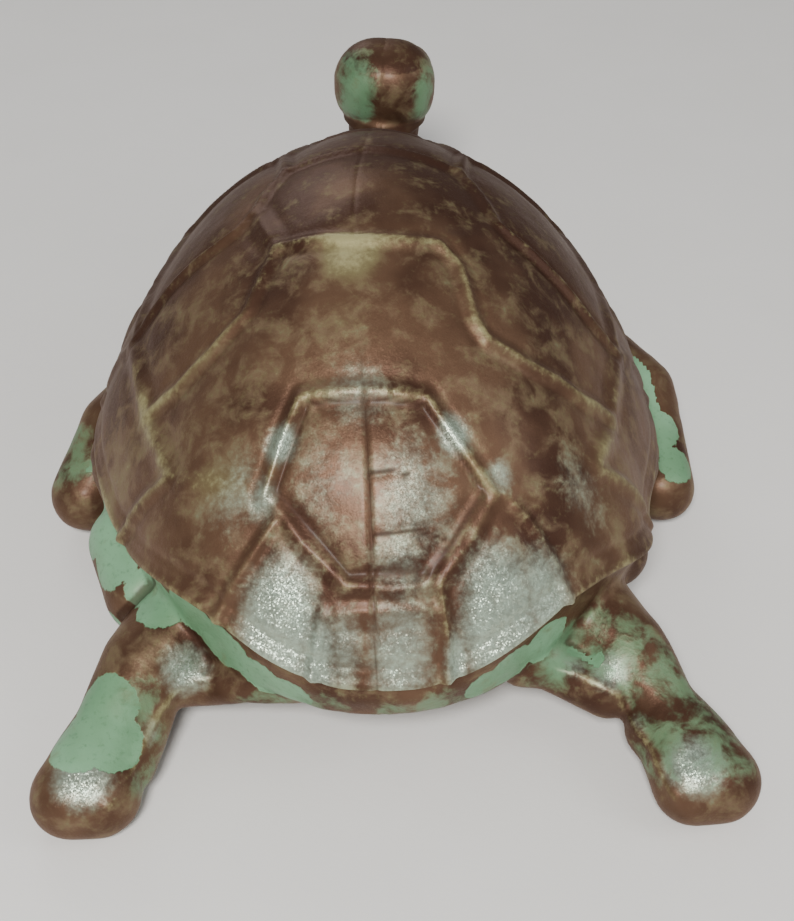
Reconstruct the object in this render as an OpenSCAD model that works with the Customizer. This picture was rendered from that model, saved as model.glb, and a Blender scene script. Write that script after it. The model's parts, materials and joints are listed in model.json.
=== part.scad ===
// Wind-up crawling turtle: a hollow moulded turtle with a nodding head and a
// small clockwork motor that drives two wheels under the belly.
// +Z is up, +Y is the way the turtle looks, and the origin is on the floor
// under the middle of its length.

/* [Shell] */
// Width across the rim of the shell
shell_w = 58; // [57:0.5:59]
// Length of the rim of the shell
shell_l = 78; // [77:0.5:79]
// Height of the top of the shell above the floor
shell_top = 43; // [42:0.5:45]
// Height of the shell's rim above the floor
rim_z = 14.8; // [14.4:0.1:15]
// Rise of the rim over the neck
neck_arch = 9.3; // [9.2:0.1:9.6]
// Thickness of the moulded walls
wall = 1.2; // [1:0.1:1.3]

/* [Body] */
// Height of the belly above the floor
belly_z = 8; // [7.9:0.1:8.1]
// Radius of a rear foot
foot_r = 4.1; // [4:0.1:4.3]
// Radius of a rear ankle
ankle_r = 3.4; // [3.2:0.1:3.6]
// Radius of a rear thigh
thigh_r = 5.2; // [5:0.1:5.4]

/* [Head] */
// Radius of the head
head_r = 6.2; // [6:0.1:6.4]
// Radius of the neck just under the head
neck_r = 4.5; // [4.2:0.1:4.6]
// How far the head is turned to the turtle's right
head_turn = 8; // [0:1:8]

/* [Motor] */
// Radius of the drive wheels with their tyres
wheel_r = 6; // [5.9:0.1:6.1]
// Number of turns in the mainspring
spring_turns = 6; // [4:1:7]
// Number of vanes on the governor's fan
fan_vanes = 2; // [2:1:4]

/* [Hidden] */
$fn = 48;

// Colours
shell_brown = "#6d4c3f";
body_green = "#86aa90";
tin = "#b9b7ae";
brass = "#b8964f";
steel = "#8f9296";
lead = "#6a6d72";
rubber = "#3a3533";

// Shell
shell_cy = -5;
rim_a = shell_w / 2;
rim_b = shell_l / 2;
side_power = 1.05;
crown_power = 1.5;
egg = 0.047;
front_arch = [2, 128, 26];
rear_arch = [4.2, 36, 30];
waist = [0.03, 62, 26];
flank = [2.4, 84, 26];
tail_swell = [1.1, 0, 36];
hind_corner = [1.8, 55, 15];
rings = 10;
spokes = 32;

// Belly
belly_a = rim_a - 5.5;
front_sole = 0.6;
opening_r = 10;
opening_x = 5.2;
opening_y = [-16, 6];
plate_margin = 4.5;
lip_h = 1.8;
lip_t = 0.8;

// Neck, head and their pivot
pin_y = 29;
pin_z = 19;
pin_r = 0.8;
bush_r = 1.8;
bracket_x = 7.6;
bracket_t = 0.6;
bracket_eye = 1.8;
bracket_foot = [9.5, 21.2];
foot_w = 3.6;
foot_l = 3.5;
rivet_r = 0.7;
hole_gap = 0.1;
rivet_head_r = 1.2;
rivet_head_h = 0.5;
weight_y = 24.86;
weight_z = 12.6;
weight_r = 2.45;
weight_l = 14;
arm_r = 0.6;
bracket_feet = [for (s = [-1, 1]) [s * bracket_foot[0], bracket_foot[1]]];
head_y = 42.2;
head_z = 29.5;
head_wall = 1;
head_ball = 5.1;
snout_r = 3.8;
neck_room_r = 8.8;

// Motor frame
plate_t = 0.6;
base_z = belly_z - plate_t;
upper_z = 22;
upper_t = 0.8;
pillar_r = 1.5;
tenon_r = 0.8;
pillars = [[-11.5, -21], [11.5, -21], [-9.5, 13], [9.5, 13]];
screws = [[-13.5, -25.5], [13.5, -25.5], [-13.5, 15.5], [13.5, 15.5]];
screw_r = 0.9;
gap = 0.05;

// Gears: module of the slow train and of the governor's pair, and their teeth
slow_m = 0.7;
fast_m = 0.6;
great_teeth = 30;
second_teeth = 10;
crown_teeth = 20;
axle_teeth = 9;
fast_teeth = 24;
governor_teeth = 8;
pressure = 22;
great_r = slow_m * great_teeth / 2;
second_r = slow_m * second_teeth / 2;
crown_r = slow_m * crown_teeth / 2;
axle_pinion_r = slow_m * axle_teeth / 2;
fast_r = fast_m * fast_teeth / 2;
governor_r = fast_m * governor_teeth / 2;

// Arbors
wind_y = -13;
second_y = wind_y + great_r + second_r;
governor_y = second_y + fast_r + governor_r;
wind_r = 1.5;
wind_pivot_r = 1;
collar_r = 2.4;
arbor_r = 1.2;
pivot_r = 0.7;
pivot_top = upper_z + upper_t;

// Heights of the wheels in the train
great_z = 11.4;
great_t = 1.2;
ratchet_z = 13;
ratchet_t = 1.1;
ratchet_teeth = 12;
ratchet_out = 4.6;
ratchet_in = 3.8;
spring_z = 15.9;
spring_h = 5.2;
spring_t = 0.28;
fast_z = 14.5;
fast_t = 1;
fan_z = 16.8;
fan_h = 4.2;
fan_r = 5.6;

// Drive axle
axle_z = wheel_r;
axle_r = 1;
ear_x = 9.2;
ear_t = 0.8;
wheel_x = 12.5;
wheel_w = 3;
tyre_t = 1.2;
hub_r = wheel_r - tyre_t;
pinion_w = 1.2;
crown_face = 1.4;
crown_pitch_z = axle_z + axle_pinion_r;
crown_web_z = crown_pitch_z + slow_m * 1.25;
crown_web_t = 0.7;

// Key
key_z = 1.2;
key_h = 5.4;
key_reach = 9;
key_t = 1.2;
key_hub_r = 2.6;
key_eye_r = 1.3;
key_pin_z = key_z + 4.2;
key_pin_r = 0.4;
key_pin_l = 5.6;
hub_top = base_z - 0.3;

// Shell and underbody surfaces. An angle of 0 is the tail, 90 the turtle's
// side and 180 its neck; the halves meet in the middle plane.

function bump(th, at, half_width) =
    let (d = abs(th - at) / half_width)
    d >= 1 ? 0 : pow(cos(90 * d), 2);

function rim_height(th) =
    rim_z + neck_arch * bump(th, 180, 34)
    + front_arch[0] * bump(th, front_arch[1], front_arch[2])
    + rear_arch[0] * bump(th, rear_arch[1], rear_arch[2]);

// A point on the shell's outline, drawn in by inset; it narrows to the neck.
// The hind corner stands out on the right side only, where $corner is 1
$corner = 0;

function plan_point(th, inset, share = 1) =
    let (
        narrow = (1 + egg * cos(th)) * (1 - waist[0] * bump(th, waist[1], waist[2])),
        corner = $corner * hind_corner[0] * bump(th, hind_corner[1], hind_corner[2]) * pow(share, 6)
    )
    [
        (rim_a - inset) * share * sin(th) * narrow + corner,
        shell_cy - (rim_b - inset) * share * cos(th)
    ];

function dome_point(th, v, inset) =
    let (
        climb = pow(sin(90 * v), crown_power),
        arch = (rim_height(th) - rim_z) * pow(1 - climb, 2)
    )
    concat(
        plan_point(th, inset, pow(cos(90 * v), side_power)),
        rim_z + arch + (shell_top - inset - rim_z) * climb
    );

// From the lip that stands inside the shell's rim, over the ledge that the rim
// rests on and down the side to the belly: [inset from the rim, height]
function tub_profile(th, inner) =
    let (
        z0 = rim_height(th),
        lip_out = wall + 0.95,
        in = inner ? 1 : 0,
        tail = tail_swell[0] * bump(th, tail_swell[1], tail_swell[2]),
        swell = flank[0] * bump(th, flank[1], flank[2]) + tail
    )
    [
        [lip_out + lip_t * in, z0 + lip_h],
        [wall + 0.35 + lip_t * in, z0 - 0.01 * in],
        [inner ? wall + 0.4 + lip_t : 0.6, z0 - 0.8 * in],
        [1 - 0.8 * swell + wall * in, z0 - 1.8 - 0.2 * in],
        [2.2 - swell + wall * in, belly_z + 2 + 0.4 * in],
        [3.8 - tail + wall * 0.8 * in, belly_z + 0.6 + wall * 0.9 * in],
        [rim_a - belly_a + 0.5 * in, belly_z + wall * in]
    ];

function tub_point(th, p) = concat(plan_point(th, p[0]), p[1]);

function tub_rows(inner) = [
    for (k = [0:6])
        [for (i = [0:spokes]) let (th = 180 * i / spokes) tub_point(th, tub_profile(th, inner)[k])]
];

function dome_rows(inset) = [
    for (j = [0:rings - 1])
        [for (i = [0:spokes]) dome_point(180 * i / spokes, pow(j / rings, 1.15), inset)]
];

// A closed half of a walled surface, right of the middle plane. Each skin is a
// list of rows of points round the turtle, ending at a pole in the middle
module half_skin(outer, inner, outer_pole, inner_pole) {
    n = len(outer[0]);
    m = len(outer);
    base = n * m;
    tip_o = 2 * base;
    tip_i = tip_o + 1;
    last = (m - 1) * n;
    points = concat([for (row = outer) each row], [for (row = inner) each row], [outer_pole, inner_pole]);
    skins = [
        for (j = [0:m - 2], i = [0:n - 2])
            each let (a = j * n + i, b = a + 1, c = a + n, d = c + 1)
            [[a, d, b], [a, c, d], [base + a, base + b, base + d], [base + a, base + d, base + c]]
    ];
    caps = [
        for (i = [0:n - 2])
            each let (a = last + i)
            [[a, tip_o, a + 1], [base + a, base + a + 1, tip_i]]
    ];
    edge = [
        for (i = [0:n - 2])
            each [[i, base + i + 1, base + i], [i, i + 1, base + i + 1]]
    ];
    seams = [
        for (j = [0:m - 2])
            each let (a = j * n, c = a + n, e = a + n - 1, g = e + n)
            [
                [a, base + c, c], [a, base + a, base + c],
                [e, g, base + g], [e, base + g, base + e]
            ]
    ];
    tips = [
        [last, tip_i, tip_o], [last, base + last, tip_i],
        [last + n - 1, tip_o, tip_i], [last + n - 1, tip_i, base + last + n - 1]
    ];
    polyhedron(points, concat(skins, caps, edge, seams, tips));
}

// side is 1 for the turtle's right half and -1 for its left
module on_side(side) {
    mirror([side > 0 ? 0 : 1, 0, 0]) children();
}

module carapace(side) {
    $corner = max(side, 0);
    color(shell_brown)
    on_side(side)
    half_skin(
        dome_rows(0), dome_rows(wall),
        [0, shell_cy, shell_top], [0, shell_cy, shell_top - wall]
    );
}

// Each joint of a limb is a hull of balls, [x, y, z, radius]
module limb(joints) {
    for (balls = joints)
        hull()
        for (b = balls)
            translate([b[0], b[1], b[2]]) sphere(b[3], $fn = 28);
}

// The legs are swung differently on the two sides, so each has its own places
left_thigh = [-18.5, -30, 8.6, thigh_r];
left_knee = [-22.2, -34.5, 7.8, thigh_r - 1];
left_ankle = [-25, -40, 5.8, ankle_r];
left_heel = [-26.6, -43.6, 4, foot_r];
left_toes = [[-28.2, -46.1, 3.3, foot_r - 0.3], [-25.6, -46.1, 3.5, foot_r - 0.3]];
right_thigh = [19.5, -28.6, 8.6, thigh_r];
right_knee = [23.2, -33, 7.8, thigh_r - 1];
right_ankle = [26.2, -38.4, 5.8, ankle_r];
right_heel = [28.6, -42, 4, foot_r];
right_toes = [[30.8, -45.4, 3.4, foot_r - 0.3], [28.4, -45.6, 3.4, foot_r - 0.3]];
left_front = [[[-22, 8, 10, 4.6], [-28, 0, 8.8, 4.4]], [[-28, 0, 8.8, 4.4], [-31.4, -6.2, 4.4, 3.8]]];
right_front = [[[23, 14, 10.4, 4.6], [30, 5.5, 9.2, 4]], [[30, 5.5, 9.2, 4], [31.4, -5.4, 4.4, 3.8]]];

function rear_leg(thigh, knee, ankle, heel, toes) =
    [[thigh, knee], [knee, ankle], concat([ankle, heel], toes)];

// A web joins each hind leg to the belly, and the heels are fuller inside
left_web = [
    [left_knee, [-16.7, -34.7, 6.5, 2.7]],
    [[-16.7, -34.7, 6.5, 2.7], [-12.9, -36.7, 8, 2]],
    [[-12.9, -36.7, 8, 2], [-7.6, -38.4, 9, 1.5]],
    [left_knee, left_ankle, [-22, -38.9, 5.5, 2.6]],
    [left_ankle, left_heel, [-22, -38.9, 5.5, 2.6], [-23.5, -42.9, 4.4, 3]]
];
right_web = [
    [right_knee, [21.2, -37.2, 6.5, 2.6]],
    [[21.2, -37.2, 6.5, 2.6], [15.7, -35, 8, 2.4]],
    [[15.7, -35, 8, 2.4], [12.9, -36, 9, 2]],
    [right_ankle, right_heel, [25.2, -40.6, 5, 2.8]]
];
// The flanks bulge out under the shell's hind corners
left_flank = [[[-21.5, -12, 10.2, 4], [-25, -20, 10.2, 4]], [[-25, -20, 10.2, 4], [-22.8, -26, 9, 4]]];
right_flank = [[[20, -14, 10.2, 3.7], [23.2, -22, 10.4, 3.7]]];

module legs(side) {
    rear = side > 0
        ? rear_leg(right_thigh, right_knee, right_ankle, right_heel, right_toes)
        : rear_leg(left_thigh, left_knee, left_ankle, left_heel, left_toes);
    intersection() {
        union() {
            limb(rear);
            limb(side > 0 ? right_front : left_front);
            limb(side > 0 ? right_flank : left_flank);
            limb(side > 0 ? right_web : left_web);
        }
        union() {
            translate([-60, -60, 0]) cube([120, 40, 40]);
            translate([-60, -20, front_sole]) cube([120, 50, 40]);
        }
    }
}

// The room inside the body and shell, which no leg reaches into
module inner_room() {
    hull()
    for (k = [0:4], i = [0:2:2 * spokes])
        let (th = 180 * i / spokes, p = tub_profile(th > 180 ? 360 - th : th, true)[k + 2])
        translate(tub_point(th, [p[0] - 0.3, p[1] + (k == 0 ? 14 : -0.4)])) cube(0.01);
}

// The motor's base plate lies under the belly between the legs
module plate_room() {
    translate([0, 0, base_z - plate_t])
        linear_extrude(2 * plate_t) belly_outline(plate_margin + 0.3);
}

module belly_outline(grow) {
    hull()
    for (x = [-opening_x, opening_x], y = opening_y)
        translate([x, y]) circle(opening_r + grow);
}

module at(places, z) {
    for (p = places)
        translate([p[0], p[1], z]) children();
}

module underbody(side) {
    $corner = max(side, 0);
    color(body_green)
    difference() {
        union() {
            on_side(side)
                half_skin(
                    tub_rows(true), tub_rows(false),
                    [0, shell_cy, belly_z + wall], [0, shell_cy, belly_z]
                );
            difference() {
                legs(side);
                inner_room();
                plate_room();
            }
        }
        translate([0, 0, belly_z - 1]) linear_extrude(wall + 2) belly_outline(0);
        at(screws, belly_z - 1) cylinder(r = screw_r + hole_gap, h = wall + 2, $fn = 24);
        at(bracket_feet, belly_z - 1) cylinder(r = rivet_r + hole_gap, h = wall + 2, $fn = 24);
        translate([0, 20, pin_z]) rotate([-90, 0, 0]) cylinder(r = neck_room_r, h = 22);
    }
}

// Head and neck, in one piece with the halves meeting in the middle plane

neck_joints = [
    [[0, 26.5, 18.6, 3.4], [0, 33.5, 17.6, 3.8]],
    [[0, 33.5, 17.6, 3.8], [0, 38.6, 20.4, 4.1]],
    [[0, 38.6, 20.4, 4.1], [0, head_y - 0.4, head_z - 4.5, neck_r]]
];
head_joints = [[
    [head_r - head_ball, head_y - 0.6, head_z, head_ball],
    [head_ball - head_r, head_y - 0.6, head_z, head_ball],
    [0, head_y + 4.1, head_z - 0.8, snout_r]
]];

module head_form(inset) {
    for (joints = [neck_joints, head_joints])
        limb([for (balls = joints) [for (b = balls) [b[0], b[1], b[2], b[3] - inset]]]);
}

// Turns the head and neck to the turtle's right, about the pin's middle
module turned() {
    translate([0, pin_y, 0]) rotate(-head_turn) translate([0, -pin_y, 0]) children();
}

module head_half(side) {
    color(body_green)
    difference() {
        turned()
            intersection() {
                head_form(0);
                on_side(side) cube([20, 80, 60]);
            }
        turned() head_form(head_wall);
        translate([0, pin_y, pin_z]) disc(bush_r, 20);
        arm_rod(arm_r + 0.1);
    }
}

// A disc or bar along the X axis
module disc(r, w) {
    rotate([0, 90, 0]) cylinder(r = r, h = w, center = true);
}

module neck_bush() {
    color(brass)
    translate([0, pin_y, pin_z])
    difference() {
        disc(bush_r, 9);
        disc(pin_r + gap, 10);
    }
}

// The rod from the bush down to the weight behind it
module arm_rod(r) {
    reach = [weight_y - pin_y, weight_z - pin_z];
    translate([0, pin_y, pin_z])
        rotate([atan2(reach[1], reach[0]) - 90, 0, 0])
        cylinder(r = r, h = norm(reach), $fn = 24);
}

module balance_arm() {
    color(steel)
    difference() {
        arm_rod(arm_r);
        translate([0, pin_y, pin_z]) disc(bush_r, 20);
        translate([0, weight_y, weight_z]) disc(weight_r, 20);
    }
}

module balance_weight() {
    color(lead) translate([0, weight_y, weight_z]) disc(weight_r, weight_l);
}

module neck_pin() {
    head_t = 0.5;
    head_r = 1.3;
    outer = bracket_x + bracket_t / 2;
    color(steel)
    translate([0, pin_y, pin_z]) {
        disc(pin_r, 2 * outer + 2 * head_t);
        for (s = [-1, 1]) translate([s * (outer + head_t / 2), 0, 0]) disc(head_r, head_t);
    }
}

// Two bent strips that stand on the belly and hold the pin
module neck_brackets() {
    floor_z = belly_z + wall;
    foot_y = bracket_foot[1] - foot_l / 2;
    color(tin)
    for (s = [-1, 1])
        translate([s * bracket_x, 0, 0])
        difference() {
            union() {
                rotate([90, 0, 90])
                    linear_extrude(bracket_t, center = true)
                    polygon([
                        [foot_y, floor_z], [foot_y + foot_l, floor_z], [pin_y - 3, pin_z - 6],
                        [pin_y + 1.2, pin_z - 1.3], [pin_y - 1.4, pin_z + 1.1]
                    ]);
                translate([0, pin_y, pin_z]) disc(bracket_eye, bracket_t);
                translate([s > 0 ? -bracket_t / 2 : -foot_w, foot_y, floor_z])
                    cube([foot_w + bracket_t / 2, foot_l, bracket_t]);
            }
            translate([0, pin_y, pin_z]) disc(pin_r, 2);
            translate([s * (bracket_foot[0] - bracket_x), bracket_foot[1], belly_z])
                cylinder(r = rivet_r, h = 4, $fn = 24);
        }
}

module bracket_rivets() {
    below = plate_t - 0.1;
    color(brass)
    at(bracket_feet, belly_z) {
        translate([0, 0, -below]) cylinder(r = rivet_head_r, h = below, $fn = 24);
        cylinder(r = rivet_r, h = wall + bracket_t, $fn = 24);
        translate([0, 0, wall + bracket_t]) cylinder(r = rivet_head_r, h = rivet_head_h, $fn = 24);
    }
}

// Motor frame

module base_plate() {
    eye = 2.4;
    color(tin)
    difference() {
        union() {
            translate([0, 0, base_z]) linear_extrude(plate_t) belly_outline(plate_margin);
            for (s = [-1, 1])
                translate([s * ear_x, second_y, 0]) {
                    translate([-ear_t / 2, -eye, axle_z]) cube([ear_t, 2 * eye, base_z - axle_z]);
                    translate([0, 0, axle_z]) disc(eye, ear_t);
                }
        }
        // Slots for the wheels and for the pinion on the axle
        for (s = [-1, 1])
            translate([s * wheel_x - wheel_w / 2 - 0.6, second_y - 6.8, base_z - 1])
                cube([wheel_w + 1.2, 13.6, 3]);
        translate([crown_r - 1.1, second_y - 3.6, base_z - 1]) cube([2.2, 7.2, 3]);
        // Holes for the axle, the arbors' pivots, the pillars and the screws
        translate([0, second_y, axle_z]) disc(axle_r + gap, 40);
        translate([0, wind_y, base_z - 1]) cylinder(r = wind_r + gap, h = 3);
        for (y = [second_y, governor_y])
            translate([0, y, base_z - 1]) cylinder(r = pivot_r + gap, h = 3, $fn = 24);
        at(pillars, base_z - 1) cylinder(r = tenon_r, h = 3, $fn = 24);
        at(screws, base_z - 1) cylinder(r = screw_r, h = 3, $fn = 24);
    }
}

module upper_plate() {
    color(tin)
    translate([0, 0, upper_z])
    difference() {
        linear_extrude(upper_t)
            hull() {
                for (p = pillars) translate(p) circle(2.6);
                translate([0, governor_y]) circle(4);
            }
        for (y = [second_y, governor_y])
            translate([0, y, -1]) cylinder(r = pivot_r + gap, h = 3, $fn = 24);
        translate([0, wind_y, -1]) cylinder(r = wind_pivot_r + gap, h = 3, $fn = 24);
        at(pillars, -1) cylinder(r = tenon_r, h = 3, $fn = 24);
    }
}

module motor_pillars() {
    color(steel)
    at(pillars, 0) {
        translate([0, 0, base_z]) cylinder(r = tenon_r, h = plate_t, $fn = 24);
        translate([0, 0, belly_z]) cylinder(r = pillar_r, h = upper_z - belly_z);
        translate([0, 0, upper_z]) cylinder(r = tenon_r, h = 2.2, $fn = 24);
    }
}

module pillar_nuts() {
    color(brass)
    at(pillars, upper_z + upper_t)
    difference() {
        cylinder(r = 1.8, h = 1.1, $fn = 6);
        translate([0, 0, -1]) cylinder(r = tenon_r, h = 3, $fn = 24);
    }
}

module base_screws() {
    head_h = 0.8;
    color(steel)
    at(screws, 0)
    difference() {
        union() {
            translate([0, 0, base_z - head_h]) cylinder(r = 1.8, h = head_h, $fn = 32);
            translate([0, 0, base_z]) cylinder(r = screw_r, h = 4.2, $fn = 24);
        }
        translate([-2, -0.2, base_z - head_h - 0.1]) cube([4, 0.4, 0.45]);
    }
}

module screw_nuts() {
    color(brass)
    at(screws, belly_z + wall)
    difference() {
        translate([-1.6, -1.6, 0]) cube([3.2, 3.2, 1.2]);
        translate([0, 0, -1]) cylinder(r = screw_r, h = 3, $fn = 24);
    }
}

// Winding side

// The hole for the key's pin, through the key and the arbor
module cross_hole() {
    translate([0, 0, key_pin_z])
        rotate([90, 0, 0]) cylinder(r = key_pin_r, h = 9, center = true, $fn = 16);
}

module winding_key() {
    wing_r = key_h / 2;
    color(tin)
    translate([0, wind_y, 0])
    difference() {
        union() {
            translate([0, 0, key_z]) cylinder(r = key_hub_r, h = hub_top - key_z);
            hull()
                for (s = [-1, 1])
                    translate([s * (key_reach - wing_r), 0, key_z + wing_r])
                        rotate([90, 0, 0]) cylinder(r = wing_r, h = key_t, center = true, $fn = 32);
        }
        translate([0, 0, key_z + 1]) cylinder(r = wind_r, h = 10);
        for (s = [-1, 1])
            translate([s * (key_reach - wing_r), 0, key_z + wing_r])
                rotate([90, 0, 0]) cylinder(r = key_eye_r, h = 4, center = true, $fn = 24);
        cross_hole();
    }
}

module key_pin() {
    color(steel)
    translate([0, wind_y, key_pin_z])
    rotate([90, 0, 0]) cylinder(r = key_pin_r, h = key_pin_l, center = true, $fn = 16);
}

module winding_arbor() {
    color(steel)
    translate([0, wind_y, 0])
    difference() {
        union() {
            translate([0, 0, key_z + 1]) cylinder(r = wind_r, h = upper_z - 0.2 - key_z - 1);
            translate([0, 0, upper_z - 0.2]) cylinder(r = wind_pivot_r, h = upper_t + 0.2, $fn = 24);
            // Collar under the great wheel
            translate([0, 0, great_z - 0.9]) cylinder(r = collar_r, h = 0.8);
        }
        cross_hole();
    }
}

module ratchet_wheel() {
    step = 360 / ratchet_teeth;
    color(steel)
    translate([0, wind_y, ratchet_z])
    difference() {
        linear_extrude(ratchet_t)
            polygon([
                for (k = [0:ratchet_teeth - 1])
                    each [
                        ratchet_out * [cos(k * step), sin(k * step)],
                        ratchet_in * [cos(k * step + 2), sin(k * step + 2)]
                    ]
            ]);
        translate([0, 0, -1]) cylinder(r = wind_r, h = 4);
    }
}

// A spiral strip from the arbor to a stud on one pillar
module mainspring() {
    r0 = wind_r + spring_t / 2;
    r1 = 10.4;
    steps = spring_turns * 36;
    post = pillars[1] - [0, wind_y];
    end_a = atan2(post[1], post[0]) + 360 * spring_turns;
    function r_at(t) = r0 + (r1 - r0) * pow(t, 0.9);
    function p_at(t, off) =
        let (a = end_a - 360 * spring_turns * (1 - t) - 14 * (1 - t))
        (r_at(t) + off) * [cos(a), sin(a)];
    color(steel)
    translate([0, wind_y, spring_z])
    linear_extrude(spring_h)
    difference() {
        union() {
            polygon(concat(
                [for (i = [0:steps]) p_at(i / steps, spring_t / 2)],
                [for (i = [steps:-1:0]) p_at(i / steps, -spring_t / 2)]
            ));
            translate(post) difference() {
                circle(pillar_r + spring_t);
                circle(pillar_r);
            }
            hull() {
                translate(p_at(1, 0)) circle(spring_t / 2, $fn = 16);
                translate(post * (1 - (pillar_r + spring_t / 2) / norm(post)))
                    circle(spring_t / 2, $fn = 16);
            }
        }
        circle(wind_r, $fn = 48);
        translate(post) circle(pillar_r);
    }
}

// Gears

function involute(a) = tan(a) * 180 / PI - a;

// Outline of an involute gear, thinned by play along the pitch circle
function gear_outline(m, teeth, play) =
    let (
        rp = m * teeth / 2,
        rb = rp * cos(pressure),
        tip = rp + 0.85 * m,
        root = rp - 1.15 * m,
        start = max(rb, root),
        half = (PI * m / 2 - play) / 2 / rp * 180 / PI + involute(pressure),
        radii = [for (k = [0:3]) start + (tip - start) * k / 3],
        spans = [for (r = radii) half - involute(acos(min(1, rb / r)))],
        foot = spans[0] + (root < rb ? -1.5 : 1)
    )
    [
        for (k = [0:teeth - 1])
            let (c = 360 * k / teeth)
            each concat(
                [root * [cos(c - foot), sin(c - foot)]],
                [for (i = [0:3]) radii[i] * [cos(c - spans[i]), sin(c - spans[i])]],
                [for (i = [3:-1:0]) radii[i] * [cos(c + spans[i]), sin(c + spans[i])]],
                [root * [cos(c + foot), sin(c + foot)]]
            )
    ];

module gear(m, teeth, thick, bore, play = 0.16) {
    difference() {
        linear_extrude(thick) polygon(gear_outline(m, teeth, play));
        translate([0, 0, -1]) cylinder(r = bore, h = thick + 2);
    }
}

// Round windows between a wheel's hub and its rim
module windows(at_r, r, count, thick) {
    for (k = [0:count - 1])
        rotate(360 * (k + 0.5) / count)
        translate([at_r, 0, -1]) cylinder(r = r, h = thick + 2);
}

// The click's rivet, at an angle and distance from the winding arbor
click_pivot = 6.9;
click_at = 200;
click_rivet_r = 0.6;
click_boss_r = 1;
click_boss_h = 1.6;
click_w = 1.3;

module great_wheel() {
    color(brass)
    translate([0, wind_y, great_z])
    difference() {
        gear(slow_m, great_teeth, great_t, wind_r + gap);
        rotate(click_at) translate([click_pivot, 0, -1]) cylinder(r = click_rivet_r, h = 4, $fn = 24);
        windows(6, 1.9, 5, great_t);
    }
}

module click_rivet() {
    color(steel)
    translate([0, wind_y, 0])
    rotate(click_at)
    translate([click_pivot, 0, great_z]) {
        cylinder(r = click_rivet_r, h = great_t, $fn = 24);
        translate([0, 0, great_t]) cylinder(r = click_boss_r, h = click_boss_h, $fn = 24);
    }
}

// A strip that is bent round the rivet and leans on the ratchet's teeth
module click_spring() {
    tip_r = ratchet_out + 0.06;
    color(steel)
    translate([0, wind_y, great_z + great_t + 0.2])
    rotate(click_at)
    linear_extrude(click_w)
    difference() {
        union() {
            translate([click_pivot, 0]) circle(click_boss_r + 0.4, $fn = 32);
            hull() {
                translate([click_pivot, 1.1]) circle(0.25, $fn = 16);
                rotate(42) translate([tip_r + 0.9, 0]) circle(0.25, $fn = 16);
            }
            hull() {
                rotate(42) translate([tip_r + 0.9, 0]) circle(0.25, $fn = 16);
                rotate(58) translate([tip_r + 0.25, 0]) circle(0.2, $fn = 16);
            }
        }
        translate([click_pivot, 0]) circle(click_boss_r, $fn = 24);
    }
}

// Second arbor, which carries the pinion, the crown wheel and the fast wheel

module second_arbor() {
    color(steel)
    translate([0, second_y, 0]) {
        translate([0, 0, base_z]) cylinder(r = pivot_r, h = pivot_top - base_z, $fn = 24);
        translate([0, 0, belly_z + 0.2]) cylinder(r = arbor_r, h = upper_z - 0.2 - belly_z - 0.2);
    }
}

module second_pinion() {
    color(brass)
    translate([0, second_y, crown_web_z + crown_web_t])
    rotate(180 / second_teeth)
    gear(slow_m, second_teeth, 13.4 - crown_web_z - crown_web_t, arbor_r);
}

module crown_wheel() {
    tooth_h = crown_web_z - crown_pitch_z + slow_m * 0.8;
    half_pitch = PI * slow_m / 4 - 0.1;
    lean = tan(pressure);
    outer = crown_r + crown_face / 2;
    color(brass)
    translate([0, second_y, crown_web_z])
    difference() {
        union() {
            cylinder(r = outer, h = crown_web_t);
            intersection() {
                for (k = [0:crown_teeth - 1])
                    rotate(360 * k / crown_teeth)
                    translate([crown_r - crown_face, 0, 0])
                    rotate([90, 0, 90])
                    linear_extrude(2 * crown_face)
                    polygon([
                        for (p = [[1, 0.1], [-1, 0.1], [-1, -tooth_h], [1, -tooth_h]])
                            [p[0] * (half_pitch + lean * (p[1] + crown_web_z - crown_pitch_z)), p[1]]
                    ]);
                translate([0, 0, -tooth_h])
                difference() {
                    cylinder(r = outer, h = tooth_h + 0.1);
                    translate([0, 0, -1]) cylinder(r = outer - crown_face, h = tooth_h + 3);
                }
            }
        }
        translate([0, 0, -1]) cylinder(r = arbor_r, h = 4);
        windows(3.6, 1.4, 4, crown_web_t);
    }
}

module governor_drive_wheel() {
    color(brass)
    translate([0, second_y, fast_z])
    difference() {
        gear(fast_m, fast_teeth, fast_t, arbor_r, 0.14);
        windows(3.4, 1.2, 5, fast_t);
    }
}

module governor_arbor() {
    color(steel)
    translate([0, governor_y, 0]) {
        translate([0, 0, base_z]) cylinder(r = pivot_r, h = pivot_top - base_z, $fn = 24);
        translate([0, 0, belly_z + 0.2]) cylinder(r = 0.9, h = upper_z - 0.2 - belly_z - 0.2, $fn = 24);
    }
}

module governor_pinion() {
    color(brass)
    translate([0, governor_y, fast_z - 0.4])
    rotate(180 / governor_teeth)
    gear(fast_m, governor_teeth, fast_t + 0.8, 0.9, 0.14);
}

module governor_fan() {
    color(tin)
    translate([0, governor_y, fan_z])
    difference() {
        union() {
            cylinder(r = 1.4, h = fan_h, $fn = 32);
            for (k = [0:fan_vanes - 1])
                rotate(360 * k / fan_vanes) translate([0, -0.15, 0]) cube([fan_r, 0.3, fan_h]);
        }
        translate([0, 0, -1]) cylinder(r = 0.9, h = fan_h + 2, $fn = 24);
    }
}

// Drive axle, its pinion and the two wheels

module drive_axle() {
    color(steel) translate([0, second_y, axle_z]) disc(axle_r, 2 * wheel_x + wheel_w + 1);
}

module axle_pinion() {
    color(brass)
    translate([crown_r - pinion_w / 2, second_y, axle_z])
    rotate([0, 90, 0])
    rotate(180 + 180 / axle_teeth)
    gear(slow_m, axle_teeth, pinion_w, axle_r);
}

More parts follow.
